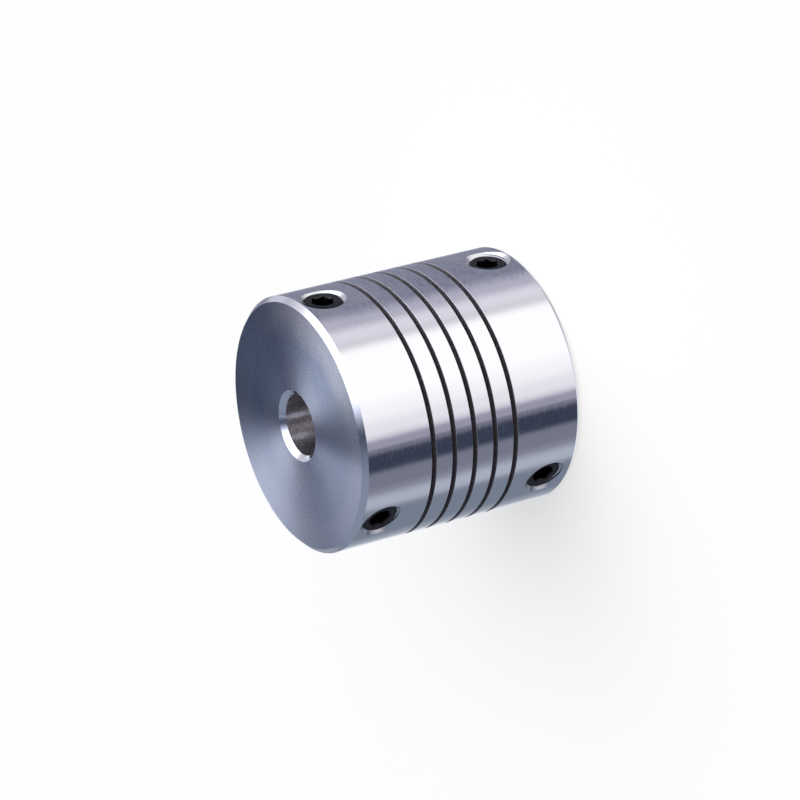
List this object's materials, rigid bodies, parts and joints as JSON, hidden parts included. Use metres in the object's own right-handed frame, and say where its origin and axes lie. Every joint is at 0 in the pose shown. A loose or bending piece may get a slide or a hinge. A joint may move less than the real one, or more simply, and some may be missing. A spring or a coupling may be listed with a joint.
{
  "type": "helical beam coupling",
  "caption": "Flexible shaft coupling turned from solid aluminium, with a shaft bore in each hub, a right-handed helical cut through the wall between them, and socket set screws.",
  "frame": {"origin": "centre of the lower end face, on the surface that the coupling stands on", "axes": "+Z along the shaft axis from the lower hub to the upper hub; -Y is the front, halfway between the two lines of set screws, which lie 60 degrees to its left and right"},
  "size_m": [0.025, 0.025, 0.024],
  "materials": {
    "body_aluminium": "fine turned",
    "screw_steel": "black oxide"
  },
  "bodies": {
    "root": {"coupling_body": "body_aluminium", "set_screw_top_left": "screw_steel", "set_screw_top_right": "screw_steel", "set_screw_bottom_left": "screw_steel", "set_screw_bottom_right": "screw_steel"}
  },
  "joints": []
}
